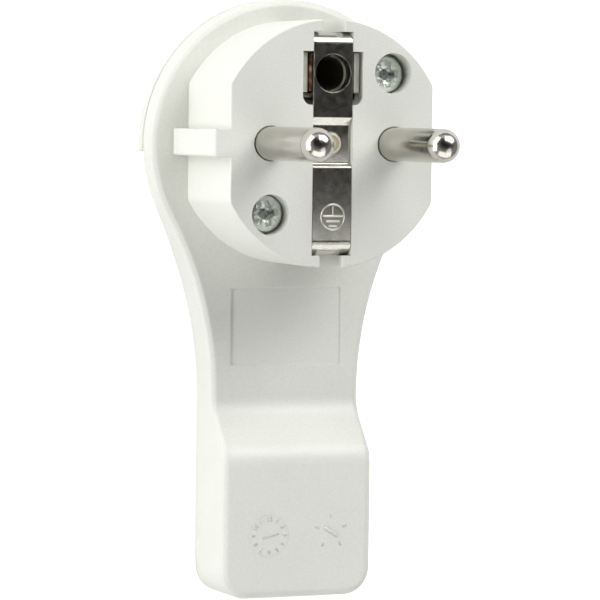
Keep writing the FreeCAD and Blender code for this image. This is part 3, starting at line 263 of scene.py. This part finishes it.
PLASTIC = moulded("white_plastic", (0.72, 0.73, 0.675), 0.4)
CARRIER = moulded("carrier_plastic", (0.73, 0.74, 0.685), 0.42, 0.2, 0.00012)
CREAM = stud_plastic("cream_plastic", (0.60, 0.57, 0.45), 0.35)
PIN = metal("nickel_pin", (0.58, 0.56, 0.51), 0.2, scale=2600, grain=0.4)
SHEET = pressed_sheet("nickel_sheet", (0.52, 0.51, 0.455), 0.21)
# a lighter copy of the strip's nickel for the pressed earth symbol: painted highlight
MARK_HIGHLIGHT = metal("nickel_mark_highlight", (0.72, 0.70, 0.63), 0.36)
BRONZE = plated_bronze("bronze_sheet", (0.85, 0.50, 0.32), (0.50, 0.46, 0.39), 0.42)
BARE = bare_bronze("bare_bronze", (0.80, 0.47, 0.31), 0.5)
SPRING = metal("spring_steel", (0.76, 0.75, 0.67), 0.5)
BRASS = metal("brass", (0.72, 0.56, 0.28), 0.3)
ZINC = metal("zinc_steel", (0.6, 0.61, 0.61), 0.3)
SCREW = metal("zinc_screw", (0.88, 0.92, 0.87), 0.36, 0.1, scale=1500, grain=0.5)
# a darker copy of the screw's zinc for its cross recess: painted shade, partly dirt
RECESS_SHADE_AND_DIRT = metal("screw_recess_shade_and_dirt", (0.82, 0.86, 0.82), 0.32, 0.1, scale=2400, grain=1)

FINISHES = {
    "housing": PLASTIC, "back_cover": PLASTIC, "pin_carrier": CARRIER,
    "earth_strip": SHEET, "pin_bridge": CREAM, "earth_socket": BRONZE,
    "contact_spring": SPRING, "earth_clamp": ZINC, "cord_clamp": ZINC,
    "earth_terminal_screw": ZINC, "line_pin_left": PIN, "line_pin_right": PIN,
    "line_terminal_left": BRASS, "line_terminal_right": BRASS,
    "terminal_screw_left": ZINC, "terminal_screw_right": ZINC,
    "clamp_screw_left": ZINC, "clamp_screw_right": ZINC,
    "case_screw_upper": SCREW, "case_screw_lower": SCREW,
    "case_insert_upper": BRASS, "case_insert_lower": BRASS,
}
for node, finish in FINISHES.items():
    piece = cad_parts[node]
    piece.data.materials.clear()
    piece.data.materials.append(finish)


# ---------------------------------------------------------------- pieces

def add_piece(name, verts, faces, finish, slot, crease=38):
    """A mesh from millimetres, smooth but for its creases, that rides on the part."""
    mesh = bpy.data.meshes.new(name)
    mesh.from_pydata([(x * MM, y * MM, z * MM) for x, y, z in verts], [], faces)
    work = bmesh.new()
    work.from_mesh(mesh)
    bmesh.ops.remove_doubles(work, verts=work.verts, dist=1e-7)
    bmesh.ops.recalc_face_normals(work, faces=work.faces)
    work.to_mesh(mesh)
    work.free()
    mesh.shade_smooth()
    mesh.set_sharp_from_angle(angle=math.radians(crease))
    mesh.materials.append(finish)
    piece = bpy.data.objects.new(name, mesh)
    bpy.context.scene.collection.objects.link(piece)
    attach(piece, "root")
    return piece


def joined(*meshes):
    """One list of corners and faces out of several."""
    verts, faces = [], []
    for more_verts, more_faces in meshes:
        base = len(verts)
        verts += more_verts
        faces += [[base + corner for corner in face] for face in more_faces]
    return verts, faces


def rotated(x, y, angle):
    return x * math.cos(angle) - y * math.sin(angle), x * math.sin(angle) + y * math.cos(angle)


def turned(profile, centre, steps=96):
    """The mesh of a turned shape: radius and height along its profile, closed on the axis."""
    verts, faces, rings = [], [], []
    for radius, level in profile:
        count = 1 if radius < 1e-6 else steps
        rings.append([len(verts) + k for k in range(count)])
        for k in range(count):
            turn = 2 * math.pi * k / steps
            verts.append((centre[0] + radius * math.cos(turn), centre[1] + radius * math.sin(turn), level))
    for low, high in zip(rings, rings[1:]):
        for k in range(steps):
            ahead = (k + 1) % steps
            corners = [low[k % len(low)], low[ahead % len(low)], high[ahead % len(high)], high[k % len(high)]]
            face = []
            for corner in corners:
                if corner not in face:
                    face.append(corner)
            if len(face) > 2:
                faces.append(face)
    return verts, faces


def ridge(start, end, width, height, floor):
    """A raised bar with round ends and a rounded top, from start to end on a floor."""
    steps, sunk = 8, 0.06
    verts, faces, loops = [], [], []
    length = math.hypot(end[0] - start[0], end[1] - start[1])
    along = ((end[0] - start[0]) / length, (end[1] - start[1]) / length)
    side = (-along[1], along[0])
    levels = [(0, floor - sunk)]
    levels += [(inset, floor + rise * height) for inset, rise in ((0, 0), (0.2, 0.55), (0.5, 0.9), (0.8, 1))]
    for inset, level in levels:
        half = width / 2 * (1 - inset)
        loop = []
        for middle, first in ((end, -90), (start, 90)):
            for k in range(steps + 1):
                turn = math.radians(first + 180 * k / steps)
                out, over = half * math.cos(turn), half * math.sin(turn)
                loop.append(len(verts))
                verts.append((middle[0] + along[0] * out + side[0] * over,
                              middle[1] + along[1] * out + side[1] * over, level))
        loops.append(loop)
    for low, high in zip(loops, loops[1:]):
        count = len(low)
        for k in range(count):
            faces.append((low[k], low[(k + 1) % count], high[(k + 1) % count], high[k]))
    faces.append(loops[-1])
    faces.append(loops[0][::-1])
    return verts, faces


def make_pins():
    """The two line pins, turned in one with their collars: a groove below the ball marks its start."""
    ball_z, groove, ball_steps = 16.6, 2.34, 24
    tail_and_collar = [(0, -11.5), (1.8, -11.5), (2, -11.3), (2, -4.7), (3.3, -4.7), (3.4, -4.6),
                       (3.4, -3.3), (3.3, -3.2), (2.2, -3.2), (2.2, 0.1), (groove, 0.1)]
    shaft = [(PIN_RADIUS, level) for level in (0.16, 4, 8, 12, 16, 16.5)] + [(groove, 16.53), (groove, 16.57)]
    ball = []
    for k in range(ball_steps):
        turn = math.radians(90 * k / ball_steps)
        ball.append((PIN_RADIUS * math.cos(turn), ball_z + PIN_RADIUS * math.sin(turn)))
    profile = tail_and_collar + shaft + ball + [(0, PIN_REACH)]
    for side, across in (("left", -PIN_X), ("right", PIN_X)):
        pin = add_piece("pin_" + side, *turned(profile, (across, 0)), PIN, "nickel_pin")
        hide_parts("line_pin_" + side)


ARM_HALF, ARM_TAPER, ARM_REACH = 0.52, 0.06, 1.75       # one arm of the cross recess
CORE_RADIUS = 0.98
RECESS_DEPTH = 1.35
FLUTE_HALF, FLUTE_REACH, FLUTE_DEPTH = 0.11, 1.95, 0.2
RECESS_EDGE = 0.14                                      # deeper faces get the recess's darker finish: painted shade, partly dirt


def ease(value):
    value = min(max(value, 0), 1)
    return value * value * (3 - 2 * value)


def cross_depth(x, y):
    """Depth of a cross recess at a place on a screw's head, with its four diagonal flutes."""
    reach = math.hypot(x, y)
    upright = min(ARM_HALF - ARM_TAPER * abs(y) - abs(x), ARM_REACH - abs(y))
    level = min(ARM_HALF - ARM_TAPER * abs(x) - abs(y), ARM_REACH - abs(x))
    inside = max(upright, level, CORE_RADIUS - reach)
    depth = RECESS_DEPTH * ease(inside / 0.28 + 0.5) * (1 - 0.28 * ease((reach - 0.6) / 1.2))
    flute = FLUTE_HALF - abs(abs(x) - abs(y)) / 1.414
    return max(depth, FLUTE_DEPTH * ease(flute / 0.08 + 0.4) * ease((FLUTE_REACH - reach) / 0.3))


def make_screws():
    """The two raised-head case screws, each with a cross recess."""
    steps, rows, rim_z, dome = 120, 40, -2.75, 0.42
    shank = [(0, -21.3), (1.2, -21.3), (1.5, -20.9), (1.5, -3.8), (2.6, -3.8), (SCREW_RADIUS, -3.75),
             (SCREW_RADIUS, rim_z)]
    rings = []
    for angle in (8, 16, 24, 32):
        turn = math.radians(angle)
        rings.append((SCREW_RADIUS * math.cos(turn) ** 0.6, rim_z + 0.9 * math.sin(turn)))
    edge, edge_z = rings[-1]
    for k in range(1, rows + 1):
        radius = edge * (1 - k / (rows + 1))
        rings.append((radius, edge_z + dome * (1 - (radius / edge) ** 2)))

    for side, sign, tilt in (("upper", 1, math.radians(4)), ("lower", -1, math.radians(8))):
        centre = (sign * SCREW_PLACE[0], sign * SCREW_PLACE[1])
        verts, faces = turned(shank, centre, steps)
        base = len(verts) - steps
        for radius, level in rings:
            for k in range(steps):
                angle = 2 * math.pi * k / steps
                x, y = radius * math.cos(angle), radius * math.sin(angle)
                verts.append((centre[0] + x, centre[1] + y, level - cross_depth(*rotated(x, y, -tilt))))
        for ring in range(len(rings)):
            low, high = base + ring * steps, base + (ring + 1) * steps
            for k in range(steps):
                faces.append((low + k, low + (k + 1) % steps, high + (k + 1) % steps, high + k))
        last = base + len(rings) * steps
        faces.append([last + k for k in range(steps)])
        screw = add_piece("screw_" + side, verts, faces, SCREW, "zinc_screw", 50)
        # the recess's deeper faces take the darker copy: painted shade, partly dirt
        screw.data.materials.append(RECESS_SHADE_AND_DIRT)
        for face in screw.data.polygons:
            x, y = face.center.x / MM - centre[0], face.center.y / MM - centre[1]
            if face.center.z > -4 * MM and cross_depth(*rotated(x, y, -tilt)) > RECESS_EDGE:
                face.material_index = 1
        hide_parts("case_screw_" + side)


def make_flange():
    """The bronze socket's flange: its bare, slightly wavy edge shows beside the earth strip."""
    across, along, sheet_depth = 10, 30, 0.3
    outer, low_y, length, top_z = 3.08, 7.45, 5.3, -1.66
    bore, inner_least = 2.62, 1.7
    verts, faces = [], []
    for level in (0, -sheet_depth):
        for i in range(across + 1):
            for k in range(along + 1):
                y = low_y + length * k / along
                inner = max(math.sqrt(max(bore ** 2 - (y - SOCKET_Y) ** 2, 0)), inner_least)
                x = -outer + (outer - inner) * i / across
                lift = 0.12 * (x + outer) + 0.07 * math.sin(1.9 * y) + 0.04 * math.sin(4.1 * y + 3 * x)
                verts.append((x, y, top_z + lift + level))
    rows, sheet = along + 1, (across + 1) * (along + 1)
    for i in range(across):
        for k in range(along):
            a = i * rows + k
            faces.append((a, a + rows, a + rows + 1, a + 1))
            faces.append((sheet + a, sheet + a + 1, sheet + a + rows + 1, sheet + a + rows))
    for i in range(across):
        for a in (i * rows, i * rows + along):
            faces.append((a, a + rows, sheet + a + rows, sheet + a))
    for k in range(along):
        for a in (k, across * rows + k):
            faces.append((a, a + 1, sheet + a + 1, sheet + a))
    add_piece("socket_flange", verts, faces, BARE, "bronze_sheet")


def make_earth_mark():
    """The pressed earth symbol on the strip, in a lighter nickel as a painted highlight: a ring, a stem and three
    bars.
    """
    x, y = 0.2, -10.4
    section = ((1.66, -0.06), (1.66, 0), (1.71, 0.1), (1.8, 0.14), (1.89, 0.1), (1.94, 0), (1.94, -0.06))
    ring = [(radius, STRIP_Z + rise) for radius, rise in section]
    parts = [turned(ring, (x, y), 72), ridge((x, y + 1.45), (x, y + 0.3), 0.2, 0.09, STRIP_Z)]
    for half, rise, width, height in ((1.45, 0.14, 0.3, 0.14), (0.95, -0.6, 0.3, 0.13), (0.55, -1.28, 0.28, 0.12)):
        parts.append(ridge((x - half, y + rise), (x + half, y + rise), width, height, STRIP_Z))
    add_piece("earth_mark", *joined(*parts), MARK_HIGHLIGHT, "nickel_sheet", 60)


def numerals(middle, radius, last, first_angle, step):
    """Small raised numbers from 1 to the last, on a circle round the middle of a dial."""
    verts, faces = [], []
    for index in range(last):
        curve = bpy.data.curves.new("numeral", "FONT")
        curve.body = str(index + 1)
        curve.size = 0.95
        curve.align_x, curve.align_y = "CENTER", "CENTER"
        curve.extrude = 0.04
        holder = bpy.data.objects.new("numeral", curve)
        mesh = bpy.data.meshes.new_from_object(holder)
        turn = math.radians(first_angle + step * index)
        base = len(verts)
        for vertex in mesh.vertices:
            u, v = rotated(vertex.co.x, vertex.co.y, turn - math.pi / 2)
            verts.append((middle[0] + radius * math.cos(turn) + u, middle[1] + radius * math.sin(turn) + v,
                          BLOCK_Z + vertex.co.z))
        faces += [[base + corner for corner in face.vertices] for face in mesh.polygons]
        bpy.data.objects.remove(holder)
        bpy.data.curves.remove(curve)
        bpy.data.meshes.remove(mesh)
    return verts, faces


def make_dials():
    """Two moulded-in date dials on the handle's block: plain numbers round a bar."""
    left, right = (-4.45, -57.1), (5.3, -56.8)
    ring = [(radius, BLOCK_Z + rise) for radius, rise in ((2.98, -0.03), (3, 0.012), (3.06, 0.012), (3.08, -0.03))]
    parts = [numerals(left, 2.4, 12, 60, -30),
             turned(ring, left, 72),
             ridge((-5.42, -57.37), (-3.6, -56.98), 0.3, 0.12, BLOCK_Z),
             ridge((-3.2, -56.9), (-3.05, -56.87), 0.22, 0.08, BLOCK_Z)]
    add_piece("month_dial", *joined(*parts), PLASTIC, "white_plastic", 30)
    parts = [numerals(right, 2.25, 5, 92, -72),
             ridge((4.35, -56.18), (6.2, -57.35), 0.46, 0.22, BLOCK_Z)]
    add_piece("year_dial", *joined(*parts), PLASTIC, "white_plastic", 30)


make_pins()
make_screws()
make_flange()
make_earth_mark()
make_dials()


# ---------------------------------------------------------------- floor, light and camera

AIM = (0, -0.02, -0.01)
FLOOR_GLOW = 0.55                   # what the camera sees on top of the lit floor
MIRRORED_GLOW = 0.12                # the same in reflections, kept low to spare the pins
LAMPS = (
    ("key", (0.45, 0.45, 0.45), (0.4, 0.4), 2.42),
    ("head_band", (0.13, 0.6, 0.27), (0.9, 0.3), 0.51),
    ("head_right", (0.22, 0.511, 0.482), (0.5, 0.4), 2.22),
    ("head_left", (-0.515, 0.495, 0.181), (0.4, 0.25), 2.1),
    ("left_side", (-0.7, 0.0, 0.12), (0.8, 0.3), 3.5),
    ("foot_right", (0.28, -0.42, 0.6), (0.4, 0.4), 0.48),
    ("foot_low", (0.0, -0.7, 0.35), (1.2, 0.55), 3.10),
)


def floor_material():
    """A white floor: it looks near white to the camera, and still shows the soft shadow."""
    tree = Tree("studio_floor")
    diffuse = tree.node("BsdfDiffuse")
    diffuse.inputs["Color"].default_value = (0.85, 0.85, 0.85, 1)
    glow = tree.node("Emission")
    glow.inputs["Color"].default_value = (1, 1, 1, 1)
    rays = tree.node("LightPath").outputs
    mirrored = tree.calc("MULTIPLY", rays["Is Glossy Ray"], MIRRORED_GLOW)
    tree.join(tree.calc("MULTIPLY_ADD", rays["Is Camera Ray"], FLOOR_GLOW, mirrored), glow.inputs["Strength"])
    both = tree.node("AddShader")
    tree.join(diffuse.outputs[0], both.inputs[0])
    tree.join(glow.outputs[0], both.inputs[1])
    tree.join(both.outputs[0], tree.output.inputs[0])
    return tree.material


def make_floor():
    """A flat floor just under the plug's back."""
    mesh = bpy.data.meshes.new("floor")
    half, level = 1.5, BACK_Z * MM - 0.00002
    corners = [(-half, -half, level), (half, -half, level), (half, half, level), (-half, half, level)]
    mesh.from_pydata(corners, [], [(0, 1, 2, 3)])
    mesh.materials.append(floor_material())
    floor = bpy.data.objects.new("floor", mesh)
    bpy.context.scene.collection.objects.link(floor)


def make_world():
    """A soft room: pale round the handle's side, dark overhead and behind the head."""
    world = bpy.data.worlds.new("room")
    bpy.context.scene.world = world
    world.use_nodes = True
    nodes, links = world.node_tree.nodes, world.node_tree.links
    nodes.clear()
    place = nodes.new("ShaderNodeTexCoord")
    dark_side = nodes.new("ShaderNodeVectorMath")
    dark_side.operation = "DOT_PRODUCT"
    dark_side.inputs[1].default_value = (0, 0.6, 0.8)
    links.new(place.outputs["Generated"], dark_side.inputs[0])
    shade = nodes.new("ShaderNodeMapRange")
    shade.interpolation_type = "SMOOTHSTEP"
    shade.inputs["From Min"].default_value = 0.2
    shade.inputs["From Max"].default_value = 0.8
    shade.inputs["To Min"].default_value = 0.28
    shade.inputs["To Max"].default_value = 0.01
    links.new(dark_side.outputs["Value"], shade.inputs["Value"])
    back = nodes.new("ShaderNodeBackground")
    back.inputs["Color"].default_value = (1, 1, 1, 1)
    links.new(shade.outputs["Result"], back.inputs["Strength"])
    output = nodes.new("ShaderNodeOutputWorld")
    links.new(back.outputs[0], output.inputs[0])


def softbox(name, place, size, power):
    """A rectangular lamp that is turned to the part."""
    lamp = bpy.data.lights.new(name, "AREA")
    lamp.shape = "RECTANGLE"
    lamp.size, lamp.size_y = size
    lamp.energy = power
    holder = bpy.data.objects.new(name, lamp)
    holder.location = place
    holder.rotation_euler = (Vector(AIM) - Vector(place)).to_track_quat("-Z", "Y").to_euler()
    bpy.context.scene.collection.objects.link(holder)


def make_camera():
    """The photograph's view, from a pinhole fitted to the pins, the boss and the earth hole."""
    lens = bpy.data.cameras.new("camera")
    lens.sensor_fit = "HORIZONTAL"
    lens.sensor_width = 36
    lens.lens = 215.89
    lens.clip_end = 10
    camera = bpy.data.objects.new("camera", lens)
    camera.location = (-0.20210, 0.00500, 0.46995)
    camera.rotation_euler = (-0.058014, -0.396911, 0.012316)
    bpy.context.scene.collection.objects.link(camera)
    bpy.context.scene.camera = camera


make_floor()
make_world()
for lamp in LAMPS:
    softbox(*lamp)
make_camera()

bpy.context.scene.view_settings.view_transform = "Standard"
